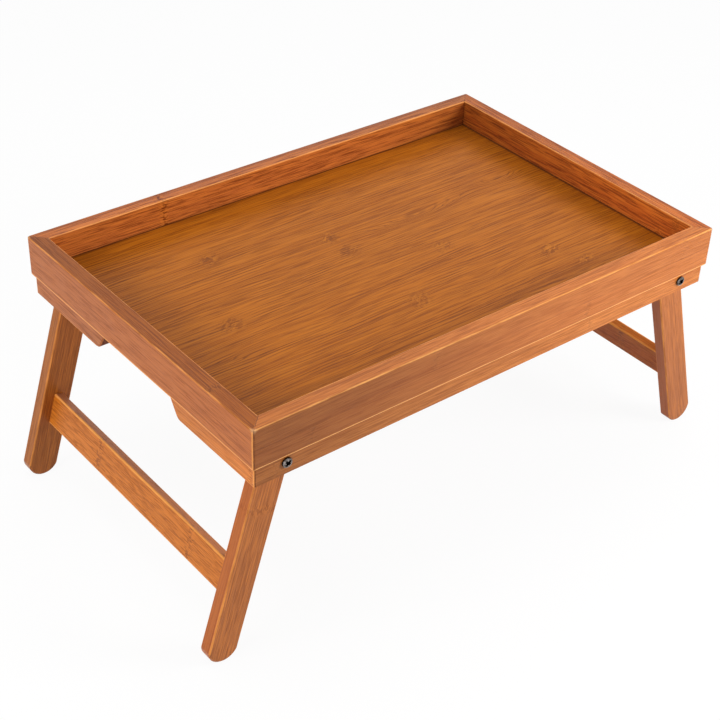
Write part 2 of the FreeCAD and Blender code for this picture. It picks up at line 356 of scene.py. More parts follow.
def makeSatinLacquer(shape):
    # thin lacquer: duller on the dark fibres and where an edge is rubbed
    tree, given, result = newGroup(
        "satinLacquer", ["Vector"], ["Fibre", "Edge Band", "Smooth", "Rough"],
        ["Roughness"])
    mottle = noise(tree, given["Vector"], shape["mottleSeed"], scale=shape["mottleScale"], detail=3.0)
    mottle = times(tree, mottle, shape["mottleShare"])
    blend = plus(tree, times(tree, given["Fibre"], shape["fibreShare"]), mottle)
    rough = mapRange(tree, blend, *shape["span"], given["Smooth"], given["Rough"], kind="LINEAR")
    feed(tree, result["Roughness"], timesPlus(tree, given["Edge Band"], shape["wearRough"], rough))
    return tree


bambooFibre = makeBambooFibre(fibreShape)
stripLamination = makeStripLamination(stripShape)
knuckleMarks = makeKnuckleMarks(knuckleShape)
edgeWearAndHighlight = makeEdgeWearAndHighlight(wearAndHighlightShape)
cornerSeam = makeCornerSeam(seamShape)
endGrain = makeEndGrain(endShape)
satinLacquer = makeSatinLacquer(lacquerShape)
print("bed tray: shared shader groups made")


# stained bamboo

# What every board starts from. Lengths are in metres, amounts from 0 to 1.
plainBoard = {
    "mid": tone(184, 98, 30), "pale": tone(214, 126, 46), "dark": tone(98, 38, 8),
    "fibreLength": 0.018, "fibreWidth": 0.0011,
    "cloudAmount": 0.35, "streakAmount": 0.2, "topStreak": 0.0,
    "fibreAmount": 0.28, "fleckAmount": 0.36,
    "stripSize": (1.0, 0.0050, 0.0196), "stripOffset": (0.5, 0.5, 0.0), "stripAmount": 0.14,
    "jointAmount": 0.45, "jointWidth": 0.00045,
    "knuckleEvery": 0.29, "knuckleFirst": 0.07, "knuckleShift": 1.0,
    "knuckleAmount": 0.45, "topKnuckle": 0.0, "haloShare": 0.35,
    "sideLight": (1.0, 1.0), "lightSpan": (-1.0, 1.0), "topLight": (1.0, 1.0),
    # the narrow faces, which look up on the rails: how square to them a point has to face
    "narrowCut": (0.6, 0.95), "topTone": tone(214, 126, 46), "topMix": 0.0,
    "outward": 1.0, "outerBand": 0.0, "bandReach": 0.6,
    # painted highlight along the long edges: its tone, the band's width and its amount; the band is also
    # rougher as wear
    "highlightTone": tone(236, 160, 88), "wearAndHighlightWidth": 0.0012, "highlightAmount": 0.75, "lowerLift": 0.0,
    "seamAmount": 0.8, "tipAmount": 0.0, "gleamAmount": 0.0,
    "endGrainAndShade": 0.5, "endRough": 0.35,
    "smooth": 0.3, "rough": 0.5, "specular": 0.22,
    "bump": 0.2, "bumpDistance": 0.0004,
    # heights are shares of the bump
    "fibreHeight": -0.35, "jointHeight": -0.8, "knuckleHeight": -0.6, "seamHeight": -1.5,
}


def emptyTree(owner):
    owner.use_nodes = True
    owner.node_tree.nodes.clear()
    return owner.node_tree


def startMaterial(name, slotTone):
    material = bpy.data.materials.new(name)
    material.diffuse_color = slotTone
    tree = emptyTree(material)
    shader = addNode(tree, "ShaderNodeBsdfPrincipled")
    output = addNode(tree, "ShaderNodeOutputMaterial")
    tree.links.new(shader.outputs[0], output.inputs["Surface"])
    return material, tree, shader


def pieceFrame(tree, centre, turn):
    # the piece's own axes: x along its grain, y through its thickness, z across its face
    coordinates = addNode(tree, "ShaderNodeTexCoord")
    mapping = addNode(tree, "ShaderNodeMapping", vector_type="TEXTURE")
    feed(tree, mapping.inputs["Vector"], coordinates.outputs["Object"])
    mapping.inputs["Location"].default_value = centre
    mapping.inputs["Rotation"].default_value = turn.to_euler()
    return coordinates.outputs["Object"], coordinates.outputs["Normal"], mapping.outputs[0]


def finishSurface(tree, shader, look, colour, rough, height):
    bump = addNode(tree, "ShaderNodeBump")
    bump.inputs["Strength"].default_value = look["bump"]
    bump.inputs["Distance"].default_value = look["bumpDistance"]
    tree.links.new(height, bump.inputs["Height"])
    tree.links.new(colour, shader.inputs["Base Color"])
    tree.links.new(rough, shader.inputs["Roughness"])
    tree.links.new(bump.outputs[0], shader.inputs["Normal"])


def layered(tree, look, colour, layers):
    # tints laid one over another, each with the name of its tone, a mask and an amount
    for other, mask, amount in layers:
        colour = tint(tree, colour, look[other], mask, amount)
    return colour


def boardMaterial(name, look, centre, turn, half, corner):
    material, tree, shader = startMaterial(name, look["mid"])
    place, normal, local = pieceFrame(tree, centre, turn)
    seed = look["seed"]
    grain = placeGroup(tree, bambooFibre, {
        "Vector": local, "Seed": seed,
        "Fibre Length": look["fibreLength"], "Fibre Width": look["fibreWidth"],
    })
    strips = placeGroup(tree, stripLamination, {
        "Vector": local, "Seed": seed, "Strip Size": look["stripSize"],
        "Strip Offset": look["stripOffset"], "Joint Width": look["jointWidth"],
    })
    knuckles = placeGroup(tree, knuckleMarks, {
        "Vector": local, "Seed": seed, "Strip Tone": strips["Tone"], "Spacing": look["knuckleEvery"],
        "First": look["knuckleFirst"], "Shift": look["knuckleShift"],
    })
    wearAndHighlight = placeGroup(tree, edgeWearAndHighlight, {
        "Vector": local, "Half Size": half, "Width": look["wearAndHighlightWidth"],
        "Lower Lift": look["lowerLift"], "Seed": seed,
    })["Edge Band"]
    ends = placeGroup(tree, endGrain, {
        "Vector": local, "Normal": normal,
        "Grain": tuple(turn @ Vector((1.0, 0.0, 0.0))), "Seed": seed,
    })
    x, y = parted(tree, local)[:2]
    across = tuple(turn @ Vector((0.0, 0.0, 1.0)))
    edgeOn = vectorMaths(tree, "DOT_PRODUCT", normal, across)
    narrow = mapRange(tree, maths(tree, "ABSOLUTE", edgeOn), *look["narrowCut"])
    streaky = timesPlus(tree, narrow, look["topStreak"], look["streakAmount"])
    marked = timesPlus(tree, narrow, look["topKnuckle"], look["knuckleAmount"])
    band = mapRange(tree, times(tree, y, look["outward"]), 0.0, half[1] * look["bandReach"])
    colour = layered(tree, look, look["mid"], [
        ("pale", grain["Cloud"], look["cloudAmount"]),
        ("dark", strips["Tone"], look["stripAmount"]),
        ("dark", grain["Streak"], streaky),
        ("dark", grain["Fibre"], look["fibreAmount"]),
        ("pale", grain["Fleck"], look["fleckAmount"]),
        ("pale", times(tree, knuckles["Halo"], marked), look["haloShare"]),
        ("dark", knuckles["Mark"], marked),
        ("dark", strips["Joint"], look["jointAmount"]),
        ("topTone", narrow, look["topMix"]),
        ("dark", times(tree, band, narrow), look["outerBand"]),
    ])
    first, last = (share * half[0] for share in look["lightSpan"])
    side = mapRange(tree, x, first, last, *look["sideLight"])
    top = mapRange(tree, x, -half[0], half[0], *look["topLight"])
    light = timesPlus(tree, narrow, minus(tree, top, side), side)
    # painted light along the piece and on its narrow faces, then a painted highlight along the long edges
    colour = tint(tree, scaled(tree, colour, light), look["highlightTone"], wearAndHighlight, look["highlightAmount"])
    endTone = mixColour(tree, ends["Pores"], look["dark"], seamShape["tone"])
    # cut ends darker as end grain; on the end strips, whose ends face the hand-hold gap, the strong
    # darkening is also painted shade
    colour = tint(tree, colour, endTone, ends["End"], look["endGrainAndShade"])
    height = times(tree, grain["Fibre"], look["fibreHeight"])
    height = timesPlus(tree, strips["Joint"], look["jointHeight"], height)
    height = timesPlus(tree, knuckles["Mark"], look["knuckleHeight"], height)
    height = times(tree, height, minus(tree, 1.0, ends["End"]))
    if corner:
        seam = placeGroup(tree, cornerSeam, {"Vector": place, "Corner": corner})
        colour = tint(tree, colour, seamShape["tipTone"], seam["Tip"], look["tipAmount"])
        # painted highlight beside the mitre, in the highlight tone
        colour = tint(tree, colour, look["highlightTone"], seam["Gleam"], look["gleamAmount"])
        colour = tint(tree, colour, seamShape["tone"], seam["Seam"], look["seamAmount"])
        height = timesPlus(tree, seam["Seam"], look["seamHeight"], height)
    finish = placeGroup(tree, satinLacquer, {
        "Vector": local, "Fibre": grain["Fibre"], "Edge Band": wearAndHighlight,
        "Smooth": look["smooth"], "Rough": look["rough"],
    })
    # bare cut ends are rougher
    rough = timesPlus(tree, ends["End"], look["endRough"], finish["Roughness"])
    shader.inputs["Specular IOR Level"].default_value = look["specular"]
    finishSurface(tree, shader, look, colour, rough, height)
    return material


def dress(node, material):
    mesh = nodes[node].data
    mesh.materials.clear()
    mesh.materials.append(material)


def middleAndHalf(node):
    low, high = (Vector(corner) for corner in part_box(node))
    return (low + high) / 2, (high - low) / 2


noTurn = Matrix.Identity(3)
quarterTurn = Matrix.Rotation(math.pi / 2, 3, "Z")
frontHigh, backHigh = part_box("front_rail")[1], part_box("back_rail")[1]
frameCorner = (frontHigh[0], backHigh[1], frontHigh[2])


def dressBoard(node, look):
    # rails and strips lie square to the tray; those at its ends run across it
    centre, half = middleAndHalf(node)
    turn = noTurn
    if node.startswith(("left", "right")):
        half = Vector((half.y, half.x, half.z))
        turn = quarterTurn
    dress(node, boardMaterial(node, look, centre, turn, half, frameCorner))


railLook = {**plainBoard, "lowerLift": 0.0012}
stripLook = {
    **plainBoard, "stripSize": (1.0, 0.0070, 0.0205), "stripOffset": (0.5, 0.0, 0.5),
    "knuckleEvery": 0.33, "highlightAmount": 0.5,
}
endStripLook = {
    **stripLook, "mid": tone(190, 104, 28), "pale": tone(220, 132, 44), "wearAndHighlightWidth": 0.0018,
    # their cut ends darkened hard, part end grain and part painted shade
    "highlightAmount": 0.8, "gleamAmount": 0.6, "endGrainAndShade": 0.9,
}
boardLooks = {
    "front_rail": {
        **railLook, "seed": 11.37, "mid": tone(184, 103, 44), "pale": tone(214, 134, 66),
        "sideLight": (0.58, 1.05), "lightSpan": (-1.0, 0.5), "topLight": (0.95, 1.18),
        "tipAmount": 0.5, "fibreAmount": 0.22, "streakAmount": 0.08, "topStreak": 0.2,
        "cloudAmount": 0.25, "knuckleFirst": 0.11, "knuckleAmount": 0.25,
        "highlightTone": tone(250, 180, 104),
    },
    "back_rail": {
        **railLook, "seed": 12.37, "mid": tone(186, 103, 48), "sideLight": (1.13, 0.88),
        "lightSpan": (0.2, 1.0), "topLight": (1.08, 0.82), "outerBand": 0.35, "fibreAmount": 0.65,
        "streakAmount": 0.15, "knuckleEvery": 0.4, "knuckleFirst": -0.1228, "knuckleShift": 0.0,
        "knuckleAmount": 0.9,
    },
    "left_rail": {
        **railLook, "seed": 13.37, "sideLight": (0.91, 0.85), "topLight": (0.67, 0.57),
        "cloudAmount": 0.06, "streakAmount": 0.02, "topStreak": 0.35, "fibreAmount": 0.42,
        "fleckAmount": 0.24, "stripAmount": 0.06, "fibreWidth": 0.0009, "lowerLift": 0.0018,
        "knuckleEvery": 0.6, "knuckleFirst": -0.1065, "knuckleShift": 0.0, "knuckleAmount": 0.0,
        "topKnuckle": 0.55, "tipAmount": 0.5, "gleamAmount": 0.7,
    },
    "right_rail": {
        **railLook, "seed": 14.37, "mid": tone(187, 92, 34), "sideLight": (1.28, 0.70),
        "topLight": (1.05, 0.82), "outward": -1.0, "outerBand": 0.2, "jointAmount": 0.6,
        "fibreAmount": 0.65, "streakAmount": 0.3,
    },
    "front_lower_strip": {
        **stripLook, "seed": 21.37, "mid": tone(184, 106, 44), "pale": tone(214, 136, 66),
        "sideLight": (0.74, 1.22), "lightSpan": (-1.0, 0.6), "knuckleAmount": 0.25,
    },
    "back_lower_strip": {**stripLook, "seed": 22.37},
    "left_front_strip": {**endStripLook, "seed": 23.37, "sideLight": (1.15, 0.95)},
    "left_back_strip": {
        **endStripLook, "seed": 24.37, "mid": tone(190, 92, 22), "sideLight": (0.70, 0.74),
        "fibreAmount": 0.45,
    },
    "right_front_strip": {**endStripLook, "seed": 25.37},
    "right_back_strip": {**endStripLook, "seed": 26.37},
}
for node, look in boardLooks.items():
    dressBoard(node, look)
print("bed tray: rails and strips dressed")


# legs and stretchers

legStance = {
    "lean": math.radians(16.6),
    "pivotX": 0.218,
    "pivotZ": 0.187553,
    "legWidth": 0.0280,
    "legLength": 0.39,
    "stretcherThickness": 0.009,
    "stretcherHeight": 0.030,
}

legLook = {
    **plainBoard, "stripSize": (1.0, 0.0170, 0.0066), "stripOffset": (0.5, 0.5, 0.5),
    "stripAmount": 0.2, "knuckleEvery": 0.24, "knuckleFirst": 0.12, "wearAndHighlightWidth": 0.0016,
    "highlightTone": tone(246, 160, 78), "cloudAmount": 0.25,
}
legLooks = {
    "left_front_leg": {
        **legLook, "seed": 31.37, "mid": tone(180, 106, 50), "streakAmount": 0.3,
        "topStreak": 0.2, "topTone": tone(186, 86, 18), "topMix": 0.4, "topLight": (0.88, 0.88),
        "knuckleFirst": 0.05, "knuckleShift": 0.0,
    },
    "left_back_leg": {
        **legLook, "seed": 32.37, "mid": tone(180, 105, 42), "sideLight": (1.1, 0.74),
        "lightSpan": (0.2, 0.9), "topLight": (0.9, 0.8), "knuckleAmount": 0.2,
    },
    "right_front_leg": {
        **legLook, "seed": 33.37, "mid": tone(182, 106, 52), "fibreAmount": 0.16,
        "streakAmount": 0.12, "topTone": tone(176, 82, 24), "topMix": 0.5, "topLight": (0.8, 0.8),
        "sideLight": (1.0, 0.85), "lightSpan": (0.0, 1.0), "knuckleAmount": 0.2,
    },
    "right_back_leg": {**legLook, "seed": 34.37},
}
for node, look in legLooks.items():
    side = -1 if node.startswith("left") else 1
    centre, half = middleAndHalf(node)
    centre = Vector((side * legStance["pivotX"], centre.y, legStance["pivotZ"]))
    half = Vector((legStance["legLength"] / 2, half.y, legStance["legWidth"] / 2))
    turn = Matrix.Rotation(math.pi / 2 - side * legStance["lean"], 3, "Y")
    dress(node, boardMaterial(node, look, centre, turn, half, None))

stretcherLook = {
    **plainBoard, "stripSize": (1.0, 0.0052, 0.0158), "stripOffset": (0.5, 0.0, 0.0),
    "knuckleEvery": 0.1422, "knuckleFirst": 0.0575, "knuckleShift": 0.0, "mid": tone(194, 108, 28),
    "fibreLength": 0.011, "fibreAmount": 0.4, "knuckleAmount": 0.6, "wearAndHighlightWidth": 0.0020,
    "highlightAmount": 0.9, "highlightTone": tone(246, 168, 84), "topTone": tone(200, 156, 132), "topMix": 0.35,
}
stretcherLooks = {
    "left_stretcher": {**stretcherLook, "seed": 41.37},
    "right_stretcher": {
        **stretcherLook, "seed": 42.37, "mid": tone(186, 90, 14), "topTone": tone(206, 124, 50),
        "sideLight": (0.76, 0.86), "specular": 0.1,
    },
}
for node, look in stretcherLooks.items():
    side = -1 if node.startswith("left") else 1
    centre, half = middleAndHalf(node)
    half = Vector((half.y, legStance["stretcherThickness"] / 2, legStance["stretcherHeight"] / 2))
    turn = Matrix.Rotation(-side * legStance["lean"], 3, "Y") @ quarterTurn
    dress(node, boardMaterial(node, look, centre, turn, half, None))
print("bed tray: leg frames dressed")


# floor panel, veneered with cathedral figure

panelLook = {
    "seed": 51.37,
    "mid": tone(172, 95, 15), "pale": tone(196, 119, 31), "dark": tone(112, 52, 8),
    "ring": tone(96, 44, 8), "ringPitch": 0.0032, "ringAmount": 0.66,
    "fibreLength": 0.028, "fibreWidth": 0.0011,
    "fibreAmount": 0.56, "fleckAmount": 0.38, "streakAmount": 0.3, "cloudAmount": 0.2,
    # how far the fibres follow the rings
    "bend": 0.4,
    # rings waver slowly and quickly, and fade out here and there
    "swellScale": (7.0, 34.0, 1.0), "swell": 4.0,
    "rippleScale": (36.0, 300.0, 1.0), "ripple": 1.1,
    "riseCut": (0.6, 0.86), "fallCut": (1.0, 0.92),
    "fadeScale": (11.0, 90.0, 1.0), "fadeSeed": 56.37, "fade": (0.38, 0.62, 0.1, 1.0),
    # ragged clusters of dark and pale specks
    "ragScale": (130.0, 240.0, 1.0), "ragReach": 0.02,
    "knotStretch": (1.7, 1.3), "knotAmount": 0.1,
    "speckScale": (240.0, 600.0, 1.0),
    "darkSpeckCut": (0.5, 0.57), "darkSpeckAmount": 0.55,
    "paleSpeckCut": (0.45, 0.38), "paleSpeckAmount": 0.6,
    "grooveCut": (0.0026, 0.0012), "grooveAmount": 0.8,
    "smooth": 0.3, "rough": 0.42, "specular": 0.14,
    "bump": 0.12, "bumpDistance": 0.0003,
    "fibreHeight": -0.5, "ringHeight": -0.4, "speckHeight": -0.8,
    # painted shade, darker towards each wall where the walls shadow the panel: the axis, where the wall
    # stands, where it clears, and its tone there
    "paintedWallShade": [(0, -0.236, -0.150, 0.74), (0, 0.236, 0.190, 0.78),
                   (1, -0.153, -0.110, 0.85), (1, 0.153, 0.090, 0.83)],
    # middle x, middle y, reach along, reach across, how many rings it lifts
    "loops": [(0.078, 0.036, 0.075, 0.016, 4.6), (0.185, 0.045, 0.035, 0.010, 3.0),
              (0.060, -0.080, 0.060, 0.012, 3.4), (-0.150, -0.050, 0.070, 0.014, -2.3),
              (-0.060, 0.100, 0.090, 0.016, 2.0), (0.120, -0.130, 0.080, 0.012, 2.0)],
    # middle x, middle y and radius of each cluster of fibre ends
    "knots": [(-0.125, 0.080, 0.011), (-0.015, 0.050, 0.010), (-0.015, 0.022, 0.010),
              (-0.165, -0.015, 0.011), (0.060, -0.020, 0.010), (-0.015, -0.075, 0.011),
              (0.135, -0.080, 0.011), (0.150, -0.110, 0.009)],
}


def bell(tree, local, x, y, reachX, reachY):
    # 1 in the middle of an oval, falling to 0 at its reach
    away = vectorMaths(tree, "SUBTRACT", local, (x, y, 0.0))
    away = vectorMaths(tree, "MULTIPLY", away, (1.0 / reachX, 1.0 / reachY, 0.0))
    return mapRange(tree, vectorMaths(tree, "LENGTH", away), 1.0, 0.0)


def panelMaterial(name, look):
    material, tree, shader = startMaterial(name, look["mid"])
    local = pieceFrame(tree, Vector((0.0, 0.0, 0.0)), noTurn)[2]
    seed, pitch = look["seed"], look["ringPitch"]
    x, y, z = parted(tree, local)
    swell = noise(tree, local, seed, scale=look["swellScale"])
    field = timesPlus(tree, swell, look["swell"], maths(tree, "DIVIDE", y, pitch))
    for loopX, loopY, reachX, reachY, rings in look["loops"]:
        lift = bell(tree, local, loopX, loopY, reachX, reachY)
        field = timesPlus(tree, lift, rings, field)
    bent = minus(tree, times(tree, field, pitch), y)
    flow = joined(tree, x, timesPlus(tree, bent, look["bend"], y), z)
    grain = placeGroup(tree, bambooFibre, {
        "Vector": flow, "Seed": seed,
        "Fibre Length": look["fibreLength"], "Fibre Width": look["fibreWidth"],
    })
    ripple = noise(tree, local, seed, scale=look["rippleScale"])
    phase = maths(tree, "FRACT", timesPlus(tree, ripple, look["ripple"], field))
    ring = mapRange(tree, phase, *look["riseCut"])
    ring = times(tree, ring, mapRange(tree, phase, *look["fallCut"]))
    fade = noise(tree, local, look["fadeSeed"], scale=look["fadeScale"])
    ring = times(tree, ring, mapRange(tree, fade, *look["fade"]))
    rag = minus(tree, noise(tree, local, seed, scale=look["ragScale"]), 0.5)
    rag = scaled(tree, (1.0, 1.0, 0.0), times(tree, rag, look["ragReach"]))
    ragged = vectorMaths(tree, "ADD", local, rag)
    stretchX, stretchY = look["knotStretch"]
    knot = 0.0
    for knotX, knotY, radius in look["knots"]:
        cluster = bell(tree, ragged, knotX, knotY, radius * stretchX, radius * stretchY)
        knot = maths(tree, "MAXIMUM", cluster, knot)
    speck = noise(tree, ragged, seed, scale=look["speckScale"], detail=1.0)
    darkSpeck = times(tree, mapRange(tree, speck, *look["darkSpeckCut"]), knot)
    paleSpeck = times(tree, mapRange(tree, speck, *look["paleSpeckCut"]), knot)
    colour = layered(tree, look, look["mid"], [
        ("pale", grain["Cloud"], look["cloudAmount"]),
        ("dark", grain["Streak"], look["streakAmount"]),
        ("dark", grain["Fibre"], look["fibreAmount"]),
        ("pale", grain["Fleck"], look["fleckAmount"]),
        ("ring", ring, look["ringAmount"]),
        ("dark", knot, look["knotAmount"]),
        ("ring", darkSpeck, look["darkSpeckAmount"]),
        ("pale", paleSpeck, look["paleSpeckAmount"]),
    ])
    # painted shade near each wall
    for axis, wall, clear, shade in look["paintedWallShade"]:
        colour = scaled(tree, colour, mapRange(tree, (x, y)[axis], wall, clear, shade, 1.0))
    size = vectorMaths(tree, "ABSOLUTE", local)
    rimX, rimY = parted(tree, vectorMaths(tree, "SUBTRACT", (*wellHalf, 1.0), size))[:2]
    groove = mapRange(tree, maths(tree, "MINIMUM", rimX, rimY), *look["grooveCut"])
    colour = tint(tree, colour, seamShape["tone"], groove, look["grooveAmount"])
    finish = placeGroup(tree, satinLacquer, {
        "Vector": local, "Fibre": grain["Fibre"], "Edge Band": groove,
        "Smooth": look["smooth"], "Rough": look["rough"],
    })
    shader.inputs["Specular IOR Level"].default_value = look["specular"]
    height = times(tree, ring, look["ringHeight"])
    height = timesPlus(tree, grain["Fibre"], look["fibreHeight"], height)
    height = timesPlus(tree, darkSpeck, look["speckHeight"], height)
    finishSurface(tree, shader, look, colour, finish["Roughness"], height)
    return material


railThickness = 0.014
wellHalf = (frameCorner[0] - railThickness, frameCorner[1] - railThickness)
dress("floor_panel", panelMaterial("floor_panel", panelLook))

tongueLook = {
    **plainBoard, "seed": 61.37, "mid": tone(214, 176, 120), "pale": tone(226, 196, 150),
    "dark": tone(170, 124, 74), "smooth": 0.5, "rough": 0.7,
}
centre, half = middleAndHalf("mitre_tongues")
dress("mitre_tongues", boardMaterial("mitre_tongues", tongueLook, centre, noTurn, half, None))
print("bed tray: floor panel dressed")


# pivot bolts, washers and lock nuts

def addObject(name, data):
    item = bpy.data.objects.new(name, data)
    bpy.context.scene.collection.objects.link(item)
    return item


def meshPiece(name, body, mesh, material):
    mesh.materials.clear()
    mesh.materials.append(material)
    piece = addObject(name, mesh)
    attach(piece, body)
    return piece


def addRing(form, radius, y, steps):
    angles = [2 * math.pi * step / steps for step in range(steps)]
    return [form.verts.new((radius * math.cos(a), y, radius * math.sin(a))) for a in angles]


def bridge(form, low, high):
    # side faces between two rings with as many points
    for step in range(len(low)):
        after = (step + 1) % len(low)
        form.faces.new((low[step], low[after], high[after], high[step]))


def lathe(profile, steps):
    # turns (radius, y) points round the Y axis; a radius of 0 closes the form
    form = bmesh.new()
    rings = []
    for radius, y in profile:
        rings.append([form.verts.new((0.0, y, 0.0))] if radius == 0 else addRing(form, radius, y, steps))
    for low, high in zip(rings, rings[1:]):
        if len(low) == len(high):
            bridge(form, low, high)
            continue
        for step in range(steps):
            after = (step + 1) % steps
            if len(low) == 1:
                form.faces.new((low[0], high[after], high[step]))
            else:
                form.faces.new((low[step], low[after], high[0]))
    bmesh.ops.recalc_face_normals(form, faces=form.faces)
    return form


def asMesh(form, name):
    mesh = bpy.data.meshes.new(name)
    form.to_mesh(mesh)
    form.free()
    return mesh


def carve(target, tool, operation):
    # one boolean, applied, with the two working objects removed again
    body = addObject("carveBody", target)
    cutter = addObject("carveTool", tool)
    step = body.modifiers.new("carve", "BOOLEAN")
    step.operation = operation
    step.solver = "EXACT"
    step.object = cutter
    graph = bpy.context.evaluated_depsgraph_get()
    result = bpy.data.meshes.new_from_object(body.evaluated_get(graph))
    for item in (body, cutter):
        bpy.data.objects.remove(item)
    return result


def prismMesh(outline, depth, turn):
    # an outline in x and y, given depth along z, then turned round Y
    form = bmesh.new()
    low = [form.verts.new((x, y, -depth / 2)) for x, y in outline]
    high = [form.verts.new((x, y, depth / 2)) for x, y in outline]
    form.faces.new(low)
    form.faces.new(high)
    bridge(form, low, high)
    bmesh.ops.recalc_face_normals(form, faces=form.faces)
    bmesh.ops.rotate(form, verts=form.verts, matrix=Matrix.Rotation(turn, 3, "Y"))
    return asMesh(form, "prism")


boltShape = {
    "length": 0.0318, "shankRadius": 0.0025, "steps": 24,
    "headRadius": 0.0045, "headHeight": 0.0026, "headSteps": 40,
    "seatShare": 0.95, "seatEdge": 0.0002,
    "sideHeight": 0.0011, "domeRise": 0.0013, "domeTop": 0.62,
    "crownShare": 0.3, "crownFall": 0.00004,
    "recessWidth": 0.0062, "recessSlot": 0.0022, "recessDepth": 0.0018, "recessTaper": 0.6,
    # the pit in the middle of the cross: above the head, at its face and at the bottom
    "pitRadii": (0.0011, 0.0010, 0.0004), "cutterRise": 0.001,
    "threadPitch": 0.0008, "threadDepth": 0.0003, "threadLength": 0.0032,
    "threadRows": 32, "tipDepth": 1.3,
}

boltLow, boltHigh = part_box("pivot_bolts")
pivotX = boltHigh[0] - boltShape["headRadius"]
pivotZ = (boltLow[2] + boltHigh[2]) / 2
stripFace = boltHigh[1] - boltShape["headHeight"]


def boltHead(shape):
    radius, height = shape["headRadius"], shape["headHeight"]
    profile = [(shape["shankRadius"], 0.0), (radius * shape["seatShare"], 0.0),
               (radius, -shape["seatEdge"])]
    flat = shape["domeTop"]
    for share in range(9):
        bend = math.pi / 2 * share / 8
        reach = radius * (flat + (1.0 - flat) * math.cos(bend))
        profile.append((reach, -shape["sideHeight"] - shape["domeRise"] * math.sin(bend)))
    profile.append((radius * shape["crownShare"], shape["crownFall"] - height))
    profile.append((0.0, -height))
    mesh = asMesh(lathe(profile, shape["headSteps"]), "boltHead")
    half, face = shape["recessWidth"] / 2, -height
    deep, above = face + shape["recessDepth"], face - shape["cutterRise"]
    narrow = half * shape["recessTaper"]
    slot = [(-half, above), (half, above), (half, face), (narrow, deep), (-narrow, deep), (-half, face)]
    for turn in (math.pi / 4, 3 * math.pi / 4):
        mesh = carve(mesh, prismMesh(slot, shape["recessSlot"], turn), "DIFFERENCE")
    wide, mouth, end = shape["pitRadii"]
    pit = lathe([(0.0, above), (wide, above), (mouth, face), (end, deep), (0.0, deep)], shape["steps"])
    return carve(mesh, asMesh(pit, "pit"), "DIFFERENCE")


def boltShank(shape):
    # plain shank, then a few turns of real thread at its end
    steps, rows = shape["steps"], shape["threadRows"]
    radius, start = shape["shankRadius"], shape["length"] - shape["threadLength"]
    form = lathe([(radius, 0.0), (radius, start)], steps)
    grid = []
    for row in range(rows + 1):
        along = shape["threadLength"] * row / rows
        turnOfThread = []
        for step in range(steps):
            turn = (along / shape["threadPitch"] + step / steps) % 1.0
            reach = radius - shape["threadDepth"] * (1.0 - abs(2.0 * turn - 1.0))
            if row == rows:
                reach = radius - shape["threadDepth"] * shape["tipDepth"]
            angle = 2 * math.pi * step / steps
            place = (reach * math.cos(angle), start + along, reach * math.sin(angle))
            turnOfThread.append(form.verts.new(place))
        grid.append(turnOfThread)
    for low, high in zip(grid, grid[1:]):
        bridge(form, low, high)
    form.faces.new(grid[-1])
    bmesh.ops.recalc_face_normals(form, faces=form.faces)
    return asMesh(form, "boltShank")


nutShape = {
    "width": 0.008, "height": 0.004,
    "boreClearance": 0.00005, "boreSteps": 32,
    # radius of each flat face, and the height of the chamfer beside it
    "lowFace": (0.0041, 0.0004), "highFace": (0.0040, 0.0005),
    "barrelClearance": 0.0001, "barrelSteps": 48,
    "collarRadius": 0.0036, "collarWall": 0.0009, "collarHeight": 0.0012, "collarSteps": 40,
    # in and down from the collar's top corner
    "collarRoll": [(0.0, 0.0005), (0.0002, 0.0001), (0.0005, 0.0)],
    "cutterRise": 0.001, "insertSink": 0.0003,
}


def lockNut(shape):
    corner = shape["width"] / 2 / math.cos(math.pi / 6)
    height, bore = shape["height"], boltShape["shankRadius"] + shape["boreClearance"]
    hexagon = bmesh.new()
    rings = [addRing(hexagon, corner, y, 6) for y in (0.0, height)]
    hexagon.faces.new(rings[0])
    hexagon.faces.new(rings[1])
    bridge(hexagon, *rings)
    bmesh.ops.recalc_face_normals(hexagon, faces=hexagon.faces)
    around = corner + shape["barrelClearance"]
    lowRadius, lowChamfer = shape["lowFace"]
    highRadius, highChamfer = shape["highFace"]
    barrel = lathe([(0.0, 0.0), (lowRadius, 0.0), (around, lowChamfer), (around, height - highChamfer),
                    (highRadius, height), (0.0, height)], shape["barrelSteps"])
    mesh = carve(asMesh(hexagon, "hexagon"), asMesh(barrel, "barrel"), "INTERSECT")
    below, above = -shape["cutterRise"], height + shape["cutterRise"]
    hole = lathe([(0.0, below), (bore, below), (bore, above), (0.0, above)], shape["boreSteps"])
    mesh = carve(mesh, asMesh(hole, "hole"), "DIFFERENCE")
    radius, top = shape["collarRadius"], height + shape["collarHeight"]
    inner = radius - shape["collarWall"]
    roll = [(radius - inward, top - down) for inward, down in shape["collarRoll"]]
    collar = lathe([(inner, height), (radius, height), *roll, (inner, top), (inner, height)],
                   shape["collarSteps"])
    return [mesh, asMesh(collar, "collar")]


def nutInsert(shape):
    # the nylon ring inside the collar
    inner = boltShape["shankRadius"] + shape["boreClearance"]
    outer = shape["collarRadius"] - shape["collarWall"]
    low = shape["height"]
    high = low + shape["collarHeight"] - shape["insertSink"]
    section = [(inner, low), (outer, low), (outer, high), (inner, high), (inner, low)]
    return lathe(section, shape["collarSteps"])


smoothing = {
    "mergeReach": 0.000002,
    "sharpAngle": math.radians(38),
}


def atEachPivot(meshes, name, offset):
    # copies at the four pivots, with those at the back turned round, smooth but for real edges
    form = bmesh.new()
    for side in (-1, 1):
        for turn in (0.0, math.pi):
            for mesh in meshes:
                copy = mesh.copy()
                place = Matrix.Translation((side * pivotX, 0.0, pivotZ)) @ Matrix.Rotation(turn, 4, "Z")
                copy.transform(place @ Matrix.Translation((0.0, offset, 0.0)))
                form.from_mesh(copy)
                bpy.data.meshes.remove(copy)
    bmesh.ops.remove_doubles(form, verts=form.verts, dist=smoothing["mergeReach"])
    bmesh.ops.recalc_face_normals(form, faces=form.faces)
    mesh = asMesh(form, name)
    mesh.shade_smooth()
    mesh.set_sharp_from_angle(angle=smoothing["sharpAngle"])
    return mesh


